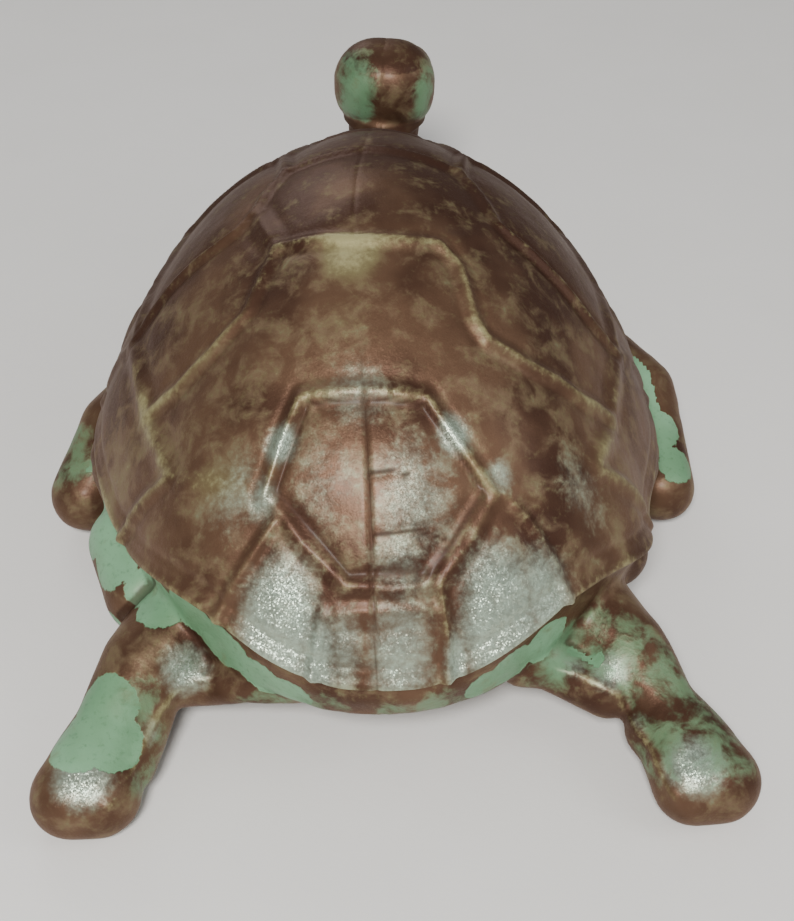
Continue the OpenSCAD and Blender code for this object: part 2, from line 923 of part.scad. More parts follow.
module wheel(s) {
    color(tin)
    translate([s * wheel_x, second_y, axle_z])
    difference() {
        union() {
            disc(hub_r, wheel_w - 1.2);
            disc(2, wheel_w);
        }
        disc(axle_r, wheel_w + 2);
        for (k = [0:3]) rotate([90 * k + 45, 0, 0]) translate([0, 3.3, 0]) disc(0.8, wheel_w + 2);
    }
}

module tyre(s) {
    edge = 0.5;
    color(rubber)
    translate([s * wheel_x, second_y, axle_z])
    rotate([0, 90, 0])
    rotate_extrude()
    difference() {
        polygon([
            [hub_r - 0.4, -wheel_w / 2], [wheel_r - edge, -wheel_w / 2], [wheel_r, edge - wheel_w / 2],
            [wheel_r, wheel_w / 2 - edge], [wheel_r - edge, wheel_w / 2], [hub_r - 0.4, wheel_w / 2]
        ]);
        translate([hub_r - 1, -wheel_w / 2 + 0.6]) square([1, wheel_w - 1.2]);
    }
}

carapace(-1);  // carapace_left
carapace(1);  // carapace_right
underbody(-1);  // underbody_left
underbody(1);  // underbody_right
head_half(-1);  // head_left
head_half(1);  // head_right
neck_bush();
balance_arm();
balance_weight();
neck_pin();
neck_brackets();
bracket_rivets();
base_plate();
upper_plate();
motor_pillars();
pillar_nuts();
base_screws();
screw_nuts();
winding_key();
key_pin();
winding_arbor();
ratchet_wheel();
mainspring();
great_wheel();
click_spring();
click_rivet();
second_arbor();
second_pinion();
crown_wheel();
governor_drive_wheel();
governor_arbor();
governor_pinion();
governor_fan();
drive_axle();
axle_pinion();
wheel(-1);  // wheel_left
wheel(1);  // wheel_right
tyre(-1);  // tyre_left
tyre(1);  // tyre_right
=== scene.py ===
import json
import math

import bmesh
import bpy
import numpy as np
from mathutils import Matrix, Vector


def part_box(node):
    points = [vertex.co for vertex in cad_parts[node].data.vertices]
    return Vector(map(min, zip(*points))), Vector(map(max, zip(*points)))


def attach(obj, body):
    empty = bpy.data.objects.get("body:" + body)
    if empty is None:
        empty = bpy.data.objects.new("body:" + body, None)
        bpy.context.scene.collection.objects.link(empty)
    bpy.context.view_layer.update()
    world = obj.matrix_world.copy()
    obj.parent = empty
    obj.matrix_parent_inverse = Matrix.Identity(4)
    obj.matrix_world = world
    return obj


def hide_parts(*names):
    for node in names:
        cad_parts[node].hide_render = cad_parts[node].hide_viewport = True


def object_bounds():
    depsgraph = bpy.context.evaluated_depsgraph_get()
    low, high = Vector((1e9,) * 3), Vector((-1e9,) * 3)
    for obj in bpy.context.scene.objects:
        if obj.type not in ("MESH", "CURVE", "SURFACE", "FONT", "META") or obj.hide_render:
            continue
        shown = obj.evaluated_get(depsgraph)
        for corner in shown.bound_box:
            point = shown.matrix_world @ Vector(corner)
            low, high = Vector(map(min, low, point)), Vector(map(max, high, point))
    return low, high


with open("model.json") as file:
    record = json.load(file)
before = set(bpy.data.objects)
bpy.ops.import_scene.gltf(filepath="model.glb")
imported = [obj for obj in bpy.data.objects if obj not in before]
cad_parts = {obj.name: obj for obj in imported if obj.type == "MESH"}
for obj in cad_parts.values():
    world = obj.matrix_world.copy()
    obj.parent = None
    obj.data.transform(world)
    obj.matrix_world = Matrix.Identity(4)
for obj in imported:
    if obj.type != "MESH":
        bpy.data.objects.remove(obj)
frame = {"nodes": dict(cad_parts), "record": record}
cad_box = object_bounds()

# Wind-up crawling turtle. All sizes here are millimetres in the frame of the
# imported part: +X is the turtle's right, +Y its head, +Z up, floor at 0.
MM = 0.001

# Shell, on the same surface as the carapace nodes
RIM_A = 29.0
RIM_B = 39.0
SHELL_CY = -5.0
SHELL_TOP = 43.0
RIM_Z = 14.8
EGG = 0.047
SIDE_POWER = 1.05
CROWN_POWER = 1.5
WALL = 1.2
# Arches of the rim, its waist and its drawn-out right hind corner: (size, the middle in
# degrees from the tail, half width in degrees)
NECK_ARCH = (9.3, 180, 34)
FRONT_ARCH = (2.0, 128, 26)
REAR_ARCH = (4.2, 36, 30)
WAIST = (0.03, 62, 26)
HIND_CORNER = (1.8, 55, 15)
# Power of the distance from the crown by which the hind corner and the seam's bow fade
CORNER_FADE = 6
BOW_FADE = 12
# How far the moulding seam bows to the left: (distance, where along Y, half length), and
# how far to each side the columns of the grid bow with it
SEAM_BOWS = [(2.3, -12, 20), (0.6, -38, 12)]
BOW_REACH = 9

# Mesh fineness: the shell's grid, the voxels of the body and the head, and the
# angle above which an edge stays sharp
COLUMNS = 330
RINGS = 118
RING_CROWDING = 1.1
BODY_VOXEL = 0.34
HEAD_VOXEL = 0.24
SMOOTHING = 8
SHARP_ANGLE = math.radians(52)
# Softened edges of the mechanism: their width, and the angle they start at
EDGE_W = 0.09
EDGE_ANGLE = math.radians(38)

# Head and its pivot
PIN = np.array([0.0, 29.0, 19.0])
HEAD_TURN = 8.0
# Middle of the head, and places on it from there, given for the right side
HEAD_AT = np.array([0.0, 42.2, 29.5])
EYE = np.array([4.5, 3.4, 1.6])
NOSTRIL = np.array([0.9, 7.6, 0.5])
# Below this height from the middle is the neck, which has no inside in view
NECK_TOP = -4.6
# Features of the face: height or depth, radius and width
LID_H, LID_R, LID_W = 0.2, 1.5, 0.35
SOCKET_R, SOCKET_W = 1.05, 0.22
EYEBALL_H, EYEBALL_R = 0.34, 0.95
NOSTRIL_DEPTH, NOSTRIL_R = 0.3, 0.4
MOUTH_DEPTH, MOUTH_W = 0.3, 0.28
HEAD_SEAM_DEPTH, HEAD_SEAM_W = 0.06, 0.2

# Body: the middle of its hollow, and the height above which the hollow is bare
HOLLOW_AT = np.array([0, -5, 14])
HOLLOW_FROM = 8.6
# Its seam, the worn edges of the hind legs and the thigh's crease: (height, width)
BODY_SEAM = (-0.1, 0.22)
LEG_EDGE = (0.22, 0.5)
CREASE = (-0.2, 0.65)

# Relief of the scutes: heights, depths and widths
BASE_DROP = 0.3
RIDGE_H = 0.5
RIDGE_W = 0.55
PILLOW_H = 0.2
PILLOW_W = 3.2
GROOVE_DEPTH = 0.2
GROOVE_W = 0.42
SEAM_DEPTH = 0.14
SEAM_W = 0.26
# The gutter along a ridge: depth share, then distance and width in widths of the ridge
GUTTER = (0.5, 2, 0.7)
# The bead round the rim (height, width), and the channel inside it (depth, distance
# from the rim, width)
RIM_BEAD = (0.35, 0.8)
RIM_CHANNEL = (0.14, 2.1, 0.5)
# The painted highlight along the bead, and the reach of the rim that has no lumps
BEAD_HIGHLIGHT = 0.85
EVEN_RIM = 2

# Unevenness of the mouldings: (size of the lumps, height, seed)
SHELL_LUMPS = [(7, 0.22, 3), (2.4, 0.09, 4)]
BODY_LUMPS = [(5, 0.3, 11), (1.8, 0.12, 12)]
HEAD_LUMPS = [(3.2, 0.18, 21)]

# Camera: aim point, bearing, height, distance, roll and lens
AIM = (2.1, -9.7, 12.1)
BEARING = -2.2
HEIGHT = 40.0
DISTANCE = 169.8
ROLL = 1.0
LENS = 63.5
SENSOR = 36.0

# Stage, in metres: half the side of the floor, and the place the lights aim at
FLOOR_HALF = 3.0
LIT = (0, 0, 0.02)


# Number fields -----------------------------------------------------------


def soft_noise(points, size, seed):
    """Smooth noise from 0 to 1 with lumps of the given size."""
    cells = 32
    table = np.random.default_rng(seed).random((cells, cells, cells))
    q = points / size
    low = np.floor(q).astype(int)
    part = q - low
    part = part * part * (3 - 2 * part)
    total = np.zeros(len(points))
    for dx in (0, 1):
        for dy in (0, 1):
            for dz in (0, 1):
                value = table[(low[:, 0] + dx) % cells, (low[:, 1] + dy) % cells, (low[:, 2] + dz) % cells]
                weight = 1.0
                for axis, d in enumerate((dx, dy, dz)):
                    weight = weight * (part[:, axis] if d else 1 - part[:, axis])
                total += value * weight
    return total


def lumpiness(points, kinds):
    """Unevenness in mm, the sum of several sizes of noise."""
    return sum((soft_noise(points, size, seed) - 0.5) * height for size, height, seed in kinds)


def hill(distance, width):
    """1 at no distance, with a smooth fall on either side."""
    return np.exp(-((distance / width) ** 2))


def plateau(distance, width):
    """As hill, with a flatter top and steeper sides."""
    return np.exp(-((distance / width) ** 4))


def ramp(value, start, length):
    """0 up to the start, then rising to 1 over the length."""
    return np.clip((value - start) / length, 0, 1)


def bump(th, at, half_width):
    """1 at an angle, falling to 0 at half_width degrees from it."""
    d = np.abs(th - at) / half_width
    return np.where(d >= 1, 0.0, np.cos(np.pi / 2 * np.minimum(d, 1)) ** 2)


def rim_height(th):
    """Height of the rim; 0 degrees is the tail and 180 the neck."""
    height = RIM_Z
    for rise, at, half_width in (NECK_ARCH, FRONT_ARCH, REAR_ARCH):
        height = height + rise * bump(th, at, half_width)
    return height


def narrowing(th):
    """Width of the rim's outline as a share of an ellipse's."""
    return (1 + EGG * np.cos(np.radians(th))) * (1 - WAIST[0] * bump(th, *WAIST[1:]))


def dome_height(x, y):
    """Height of the shell above a place in plan."""
    fore = -(y - SHELL_CY) / RIM_B
    side = np.abs(x) / RIM_A
    th = np.degrees(np.arctan2(side, fore))
    for _ in range(6):
        th = np.degrees(np.arctan2(side / narrowing(th), fore))
    share = np.clip(np.hypot(side / narrowing(th), fore), 0, 1)
    climb = np.sin(np.arccos(share ** (1 / SIDE_POWER))) ** CROWN_POWER
    arch = (rim_height(th) - RIM_Z) * (1 - climb) ** 2
    return RIM_Z + arch + (SHELL_TOP - RIM_Z) * climb


def seam_shift(y):
    """How far the moulding seam bows to the turtle's left."""
    shift = 0
    for far, at, length in SEAM_BOWS:
        shift = shift - far * hill(y - at, length)
    return shift


def distance_to_line(x, y, line):
    """Distance in plan from each point to a polyline."""
    best = np.full(x.shape, 1e9)
    for (ax, ay), (bx, by) in zip(line[:-1], line[1:]):
        dx, dy = bx - ax, by - ay
        t = np.clip(((x - ax) * dx + (y - ay) * dy) / (dx * dx + dy * dy), 0, 1)
        best = np.minimum(best, np.hypot(x - ax - t * dx, y - ay - t * dy))
    return best


# Scutes ------------------------------------------------------------------

# Ridges between the scutes in plan, as (line, height share, width share).
# They differ from side to side, as on the real shell.
BACK_RIDGES = [
    ([(-9.6, -11.6), (-7.3, -12.3), (-1.8, -13.5), (1.9, -13.6), (5.5, -13.3)], 1.0, 1.15),
    ([(-7.2, -27.3), (-2, -27.5), (3.9, -27.9)], 1.0, 1.0),
    ([(-3.3, -39.6), (0.8, -40), (4.9, -39.4)], 0.7, 0.7),
    ([(-5.4, -40.9), (-1, -41), (4.9, -40.7)], 0.6, 0.8),
    ([(-9.1, 1.8), (-1, 3), (8.3, 1)], 0.9, 1.1),
    ([(-6.5, 17), (0, 18.2), (6.5, 17)], 0.9, 1.1),
]
RIGHT_RIDGES = [
    ([(8.3, 1), (10.1, -2.7), (11.6, -7)], 0.9, 1.0),
    ([(11.6, -7), (9.4, -10.3), (5.5, -13.3)], 0.45, 1.6),
    ([(11.6, -7), (17.3, -8.9), (20.9, -10.3), (24.1, -10)], 1.0, 1.0),
    ([(24.1, -10), (26, -6.5), (29, -3)], 0.6, 1.0),
    (
        [(5.5, -13.3), (7.3, -15.2), (8.5, -20.6), (9.6, -22), (13.6, -22.3), (18.9, -21.3), (22.1, -19.3)],
        1.0, 1.1,
    ),
    ([(24.1, -10), (22.8, -16.8), (22.1, -21), (19.8, -27)], 0.8, 1.0),
    ([(19.8, -27), (22.5, -25.6), (26, -23.4)], 0.8, 1.0),
    ([(3.9, -27.9), (6.3, -30.5), (9.9, -33.7)], 1.0, 1.0),
    ([(9.9, -33.7), (14, -32.2), (17.6, -29.3), (19.8, -27)], 0.5, 1.6),
    ([(9.9, -33.7), (7.6, -36.8), (4.9, -39.4)], 0.8, 0.75),
    ([(8.8, -33.9), (6.6, -36.7), (3.9, -39.3)], 0.8, 0.75),
    ([(10.6, -33.4), (13, -34.6), (15.2, -36.2), (17.8, -38.5)], 0.8, 0.8),
    ([(4.9, -39.4), (5.6, -42), (5.7, -46)], 0.9, 0.8),
    ([(6.5, 17), (9.4, 9.5), (8.3, 1)], 0.9, 1.0),
    ([(9.4, 9.5), (15, 10.5), (20.2, 10)], 0.9, 1.0),
    ([(24.1, -10), (23.6, 0), (20.2, 10), (14, 19.5), (7.6, 25)], 0.8, 1.0),
    ([(20.2, 10), (24, 13), (27, 16)], 0.7, 1.0),
    ([(14, 19.5), (16, 24), (18, 29)], 0.7, 1.0),
    ([(23.6, 0), (27, 2), (30, 3)], 0.7, 1.0),
    ([(6.5, 17), (7.6, 25), (8, 34)], 0.7, 1.0),
]
LEFT_RIDGES = [
    ([(-9.1, 1.8), (-10.8, -0.9), (-12, -4)], 0.9, 1.0),
    ([(-12, -4), (-11, -7.7), (-9.6, -11.6)], 0.8, 1.3),
    ([(-12, -4), (-13.9, -5.8), (-20.2, -5.9), (-24.6, -7)], 1.0, 1.0),
    ([(-24.6, -7), (-26.4, -4.6), (-29, -3)], 0.6, 1.0),
    (
        [(-9.6, -11.6), (-10.9, -14.5), (-12.3, -17.6), (-15.6, -19.2), (-19, -19.6), (-22.3, -18.5)],
        0.9, 1.1,
    ),
    ([(-24.6, -7), (-23.4, -14), (-22.3, -18.5), (-19.4, -27.5)], 0.8, 1.0),
    ([(-19.4, -27.5), (-22, -26.4), (-25.5, -24.6)], 0.9, 1.0),
    ([(-7.2, -27.3), (-8.7, -30), (-10.3, -33.4)], 1.0, 1.0),
    ([(-10.3, -33.4), (-14, -31.6), (-17.4, -29.5), (-19.4, -27.5)], 0.5, 1.6),
    ([(-10.3, -33.4), (-7.1, -36.9), (-3.3, -39.6)], 0.6, 0.8),
    ([(-9.6, -35.4), (-12, -37.2), (-14.6, -39), (-17, -40)], 0.7, 0.8),
    ([(-5.4, -40.9), (-6.3, -43), (-6.8, -46)], 0.6, 0.8),
    ([(-6.5, 17), (-9.6, 9.5), (-9.1, 1.8)], 0.9, 1.0),
    ([(-9.6, 9.5), (-15, 11), (-20.2, 10)], 0.9, 1.0),
    ([(-24.6, -7), (-23.6, 1), (-20.2, 10), (-14, 19.5), (-7.6, 25)], 0.8, 1.0),
    ([(-20.2, 10), (-24, 13), (-27, 16)], 0.7, 1.0),
    ([(-14, 19.5), (-16, 24), (-18, 29)], 0.7, 1.0),
    ([(-23.6, 1), (-27, 3), (-30, 4)], 0.7, 1.0),
    ([(-6.5, 17), (-7.6, 25), (-8, 34)], 0.7, 1.0),
]
# The rear scute, with a groove inside its ridges
HEXAGON = [
    (-7.2, -27.3), (3.9, -27.9), (9.9, -33.7), (4.9, -39.4), (-3.3, -39.6), (-10.3, -33.4), (-7.2, -27.3),
]
HEXAGON_AT = (-0.3, -33.7)
INNER_SHARE = 0.905
# Fine cracks in the paint: (line, depth in mm, half width in mm)
CRACKS = [
    ([(-1.2, -33.2), (0.6, -33.1), (2.4, -33.3)], 0.12, 0.18),
    ([(-0.8, -37), (3, -36.6), (6, -37)], 0.05, 0.2),
]
# The seam has cracked the paint open behind this place, and only partly ahead of it
CRACKED_FROM = -26
CRACKED_OVER = 1.5
CRACKED_AHEAD = 0.3
# How deep and how dark the groove inside the rear scute is, and how much grime the open seam holds
GROOVE_STRENGTH = 0.9
SEAM_DIRT = 0.8


def inner_hexagon(share):
    cx, cy = HEXAGON_AT
    return [(cx + share * (x - cx), cy + share * (y - cy)) for x, y in HEXAGON]


def scute_relief(x, y, side):
    """Height of the relief in mm, with masks of the ridges and of the grooves."""
    height = np.full(x.shape, -BASE_DROP)
    ridge = np.zeros(x.shape)
    nearest = np.full(x.shape, 1e9)
    gutter = np.zeros(x.shape)
    shallow, off, narrow = GUTTER
    for line, tall, wide in BACK_RIDGES + (RIGHT_RIDGES if side > 0 else LEFT_RIDGES):
        d = distance_to_line(x, y, line)
        w = RIDGE_W * wide
        nearest = np.minimum(nearest, d)
        ridge = np.maximum(ridge, tall * hill(d, w))
        gutter = np.maximum(gutter, shallow * tall * hill(d - off * w, narrow * w))
    groove = GROOVE_STRENGTH * hill(distance_to_line(x, y, inner_hexagon(INNER_SHARE)), GROOVE_W)
    # The gutters beside the ridges join the groove mask, so they are cut and also painted with shade
    groove = np.maximum(groove, gutter)
    height += RIDGE_H * ridge + PILLOW_H * (1 - hill(nearest, PILLOW_W))
    height -= GROOVE_DEPTH * groove
    behind = 1 / (1 + np.exp((y - CRACKED_FROM) / CRACKED_OVER))
    cracked = CRACKED_AHEAD + (1 - CRACKED_AHEAD) * behind
    seam = hill(x - seam_shift(y), SEAM_W)
    height -= SEAM_DEPTH * seam * cracked
    marks = SEAM_DIRT * seam * cracked
    for line, depth, wide in CRACKS:
        near = hill(distance_to_line(x, y, line), wide)
        height -= depth * near
        marks = np.maximum(marks, near)
    return height, ridge, np.maximum(groove, marks)


# Places on the shell in plan: (x, y, radius, strength). First the glossy places, which also get a painted
# sheen and, on the ridges by the rear scute, painted highlights; then the worn places.
GLOSS_AND_SHEEN_PLACES = [
    (2.6, -34.6, 4.2, 0.5), (1.5, -38.2, 3, 0.45), (-5, -33.5, 3.8, 0.3), (-9.3, -40.9, 3, 1.5),
    (-6, -42.6, 2, 1), (10.6, -40.6, 3.4, 1.5), (14.5, -38.5, 2.6, 1), (1.4, -43, 3, 0.75),
    (-3.6, -42.4, 2, 0.6), (-13, -32.5, 3, 0.4), (-10.6, -33.5, 1.6, 0.7), (18, -30, 3, 0.35),
    (-2, -27.6, 3, 0.45), (-8.9, -30.4, 1.3, 1.3), (6.2, -30.2, 1.3, 1.3), (10.4, -32.2, 1.2, 0.6),
    (6.4, -42.6, 1, 1.2),
]
RUBBED_PLACES = [
    (-2.8, -15.2, 2.8, 1.6), (-2.6, -6.5, 1.7, 0.5), (-5.4, -8.5, 1.3, 0.45), (-17.8, -10.8, 2.2, 0.4),
    (-1.6, 4.7, 3, 0.6), (-11.2, 5, 2, 0.5), (7.2, 0.8, 2.6, 0.45), (-24.5, -19.5, 4.5, 0.6),
    (-18, -25, 3.2, 0.45), (-14.5, -31, 3, 0.5), (-3.4, -20, 4, 0.3), (21.5, -24, 3.5, 0.3),
    (12, -26, 3, 0.2), (22, -30.3, 1.5, 0.5),
]
# Towards the head the paint is darkened as painted shade, where the light falls off
FRONT_SHADE = 1.15
FRONT_SHADE_FROM = -14
FRONT_SHADE_OVER = 26
# Bareness of paint that is whole; it flakes off above about a half
SHELL_BARE = 0.1
BODY_BARE = 0.12
BALL_FALL = 4


def spots(x, y, places):
    """The strongest at each point of several soft round spots."""
    total = np.zeros(x.shape)
    for px, py, radius, strength in places:
        total = np.maximum(total, strength * np.exp(-(((x - px) ** 2 + (y - py) ** 2) / radius ** 2)))
    return total


# Meshes ------------------------------------------------------------------


def placed(name, data):
    """A new object in the scene."""
    obj = bpy.data.objects.new(name, data)
    bpy.context.scene.collection.objects.link(obj)
    return obj


def smoothed(mesh):
    """Shades a mesh smooth but for its sharp edges."""
    mesh.polygons.foreach_set("use_smooth", [True] * len(mesh.polygons))
    mesh.set_sharp_from_angle(angle=SHARP_ANGLE)
    mesh.update()


def mesh_piece(name, points, faces, fields):
    """A smooth mesh object from points in mm, with float fields for its material."""
    mesh = bpy.data.meshes.new(name)
    mesh.from_pydata((np.asarray(points) * MM).tolist(), [], faces)
    for field, values in fields.items():
        layer = mesh.attributes.new(field, "FLOAT", "POINT")
        layer.data.foreach_set("value", np.asarray(values, np.float32))
    smoothed(mesh)
    return placed(name, mesh)


def cut_half(whole, name, side, across):
    """The half of a moulding on one side of an upright plane through the head's pin, with
    the cut wall closed. across is the plane's normal, towards the turtle's right."""
    half = bmesh.new()
    half.from_mesh(whole)
    across = Vector(across) * side
    parts = half.verts[:] + half.edges[:] + half.faces[:]
    plane = {"plane_co": PIN * MM, "plane_no": across, "dist": 1e-7}
    cut = bmesh.ops.bisect_plane(half, geom=parts, clear_inner=True, **plane)
    rim = [e for e in cut["geom_cut"] if isinstance(e, bmesh.types.BMEdge)]
    bmesh.ops.triangle_fill(half, use_beauty=True, edges=rim, normal=-across)
    bmesh.ops.recalc_face_normals(half, faces=half.faces[:])
    mesh = bpy.data.meshes.new(name)
    half.to_mesh(mesh)
    half.free()
    smoothed(mesh)
    return placed(name, mesh)


def cut_pair(points, faces, fields, nodes, names, across, body, slot):
    """Finishes a moulding as its left and right halves."""
    whole = mesh_piece("scratch", points, faces, fields)
    for node, name, side in zip(nodes, names, (-1, 1)):
        finish_piece(cut_half(whole.data, name, side, across), body, slot, node)
    mesh = whole.data
    bpy.data.objects.remove(whole)
    bpy.data.meshes.remove(mesh)


def held_in(points, box):
    """Keeps points within a box, given in metres."""
    low, high = (np.array(corner) / MM for corner in box)
    return np.clip(points, low, high)


def finish_piece(obj, body, slot, *nodes):
    """Material, body and slot of a piece that is shown in place of CAD nodes."""
    obj.data.materials.clear()
    obj.data.materials.append(MATERIALS[slot])
    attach(obj, body)
    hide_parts(*nodes)


def shell_half_faces(rows, cols, flip):
    """Faces of a walled half dome: outer grid, inner grid, rim, seams and poles."""
    base = rows * cols
    tip_out, tip_in = 2 * base, 2 * base + 1
    faces = []
    for j in range(rows - 1):
        for i in range(cols - 1):
            a = j * cols + i
            faces.append((a, a + 1, a + cols + 1, a + cols))
            b = a + base
            faces.append((b, b + cols, b + cols + 1, b + 1))
    top = (rows - 1) * cols
    for i in range(cols - 1):
        faces.append((top + i, top + i + 1, tip_out))
        faces.append((base + top + i + 1, base + top + i, tip_in))
        faces.append((i, base + i, base + i + 1, i + 1))
    last = cols - 1
    for j in range(rows - 1):
        a = j * cols
        faces.append((a, a + cols, base + a + cols, base + a))
        e = a + last
        faces.append((e, base + e, base + e + cols, e + cols))
    faces.append((top, tip_out, tip_in, base + top))
    faces.append((top + last, base + top + last, tip_in, tip_out))
    return [f[::-1] for f in faces] if flip else faces


def grid_normals(grid):
    """Normals of a grid of points, from the directions along its rows and columns."""
    across = np.gradient(grid, axis=1)
    up = np.gradient(grid, axis=0)
    normal = np.cross(across, up)
    return normal / np.maximum(np.linalg.norm(normal, axis=2, keepdims=True), 1e-9)


def shell_normals(grid, side):
    """Normals of a half shell, level along the rim and along the seam's plane."""
    normal = grid_normals(grid) * side
    normal[0, :, 2] = 0
    normal[0] /= np.linalg.norm(normal[0], axis=1, keepdims=True)
    normal[:, [0, -1], 0] = 0
    return normal / np.maximum(np.linalg.norm(normal, axis=2, keepdims=True), 1e-9)


def shell_grid(side):
    """Plain surface of a half shell: rings from the rim up, columns from tail to neck."""
    th = np.linspace(0, 180, COLUMNS + 1)[None, :]
    v = (np.arange(RINGS) / RINGS)[:, None] ** RING_CROWDING
    share = np.cos(np.pi / 2 * v) ** SIDE_POWER
    x = RIM_A * share * np.sin(np.radians(th)) * narrowing(th)
    y = SHELL_CY - RIM_B * share * np.cos(np.radians(th))
    x = side * x + seam_shift(y) * hill(x, BOW_REACH) * (1 - share ** BOW_FADE)
    z = dome_height(x, y)
    z[0] = rim_height(th[0])
    if side > 0:
        x = x + HIND_CORNER[0] * bump(th, *HIND_CORNER[1:]) * share ** CORNER_FADE
    return np.stack([x, y, z], axis=2)


def carapace_half(side):
    """Points, faces and fields of one half of the shell."""
    grid = shell_grid(side)
    x, y = grid[:, :, 0], grid[:, :, 1]
    normal = shell_normals(grid, side)
    height, ridge, groove = scute_relief(x, y, side)
    above_rim = np.sqrt(((grid - grid[0]) ** 2).sum(axis=2))
    bead = hill(above_rim, RIM_BEAD[1])
    channel = hill(above_rim - RIM_CHANNEL[1], RIM_CHANNEL[2])
    uneven = lumpiness(grid.reshape(-1, 3), SHELL_LUMPS).reshape(x.shape)
    uneven = uneven * (1 - hill(above_rim, EVEN_RIM))
    height = height + RIM_BEAD[0] * bead - RIM_CHANNEL[0] * channel + uneven

    outer = grid + normal * height[:, :, None]
    inner = grid - normal * WALL
    pole_x = seam_shift(SHELL_CY)
    pole_z = float(dome_height(np.array([pole_x]), np.array([SHELL_CY]))[0])
    poles = [[pole_x, SHELL_CY, outer[-1, :, 2].mean()], [pole_x, SHELL_CY, pole_z - WALL]]
    points = np.concatenate([outer.reshape(-1, 3), inner.reshape(-1, 3), poles])
    points[:, 2] = np.minimum(points[:, 2], SHELL_TOP)

    def field(outside, pole=0.0, inside=0.0):
        """Values over the outer wall, then one for the inner wall, then the two poles."""
        return np.concatenate([outside.ravel(), np.full(x.size, inside), [pole, inside]])

    # Painted shade towards the head, taken off the wear field so that the paint there turns deeper brown
    front_shade = FRONT_SHADE * ramp(y, FRONT_SHADE_FROM, FRONT_SHADE_OVER)
    fields = {
        # The ridge field also carries a pale painted highlight along the rim's bead
        "ridge": field(np.maximum(ridge, BEAD_HIGHLIGHT * bead)),
        "groove": field(groove),
        "bare": field(np.full(x.shape, SHELL_BARE), SHELL_BARE, 1.0),
        # The glossy places, which also get a painted sheen
        "gloss_and_painted_sheen": field(spots(x, y, GLOSS_AND_SHEEN_PLACES)),
        "wear_and_shade": field(spots(x, y, RUBBED_PLACES) - front_shade),
    }
    return points, shell_half_faces(RINGS, COLUMNS + 1, side < 0), fields


def remeshed(nodes, voxel):
    """Points, edges and faces of CAD nodes rebuilt together as one even skin of quads."""
    merged = bmesh.new()
    for node in nodes:
        merged.from_mesh(frame["nodes"][node].data)
    mesh = bpy.data.meshes.new("scratch")
    merged.to_mesh(mesh)
    merged.free()
    copy = placed("scratch", mesh)
    weld = copy.modifiers.new("weld", "WELD")
    weld.merge_threshold = 1e-6
    skin = copy.modifiers.new("skin", "REMESH")
    skin.mode = "VOXEL"
    skin.voxel_size = voxel * MM
    bpy.context.view_layer.update()
    built = copy.evaluated_get(bpy.context.evaluated_depsgraph_get()).to_mesh()
    points = np.empty(len(built.vertices) * 3)
    built.vertices.foreach_get("co", points)
    edges = np.empty(len(built.edges) * 2, int)
    built.edges.foreach_get("vertices", edges)
    faces = [tuple(p.vertices) for p in built.polygons]
    bpy.data.objects.remove(copy)
    bpy.data.meshes.remove(mesh)
    return points.reshape(-1, 3) / MM, edges.reshape(-1, 2), faces


def relaxed(points, edges, times):
    """Laplacian smoothing."""
    a, b = edges[:, 0], edges[:, 1]
    n = len(points)
    degree = np.maximum(np.bincount(edges.ravel(), minlength=n), 1)[:, None]
    for _ in range(times):
        total = np.empty_like(points)
        for axis in range(3):
            along = points[:, axis]
            total[:, axis] = np.bincount(a, along[b], minlength=n) + np.bincount(b, along[a], minlength=n)
        points = points + 0.5 * (total / degree - points)
    return points


def point_normals(points, faces):
    """Point normals averaged over the quads and triangles round each point."""
    normal = np.zeros_like(points)
    for corners in (3, 4):
        some = np.array([f for f in faces if len(f) == corners], int)
        if not len(some):
            continue
        p = points[some]
        if corners == 3:
            n = np.cross(p[:, 1] - p[:, 0], p[:, 2] - p[:, 0])
        else:
            n = np.cross(p[:, 2] - p[:, 0], p[:, 3] - p[:, 1])
        for k in range(corners):
            np.add.at(normal, some[:, k], n)
    return normal / np.maximum(np.linalg.norm(normal, axis=1, keepdims=True), 1e-12)


def hollowness(points, edges, normal):
    """How far, in mm, smoothing lifts each point: above 0 in creases, below 0 on edges."""
    return ((relaxed(points, edges, 10) - points) * normal).sum(axis=1)


def near_paths(points, paths, width):
    """1 on any of the paths, falling to about 0 at twice the width."""
    best = np.full(len(points), 1e9)
    for path in paths:
        for a, b in zip(np.array(path[:-1]), np.array(path[1:])):
            t = np.clip(((points - a) @ (b - a)) / ((b - a) @ (b - a)), 0, 1)[:, None]
            best = np.minimum(best, np.linalg.norm(points - a - t * (b - a), axis=1))
    return hill(best, width)


def ball_field(points, balls):
    """Above 0.5 inside any of the balls (x, y, z, radius), falling by 1 over BALL_FALL mm."""
    field = np.zeros(len(points))
    for x, y, z, r in balls:
        d = np.linalg.norm(points - np.array([x, y, z]), axis=1)
        field = np.maximum(field, 0.5 + (r - d) / BALL_FALL)
    return np.minimum(field, 1)


# Material nodes ----------------------------------------------------------


def srgb(r, g, b):
    """Linear colour from 8-bit display values."""
    def lin(c):
        c = c / 255
        return c / 12.92 if c <= 0.04045 else ((c + 0.055) / 1.055) ** 2.4
    return (lin(r), lin(g), lin(b), 1.0)


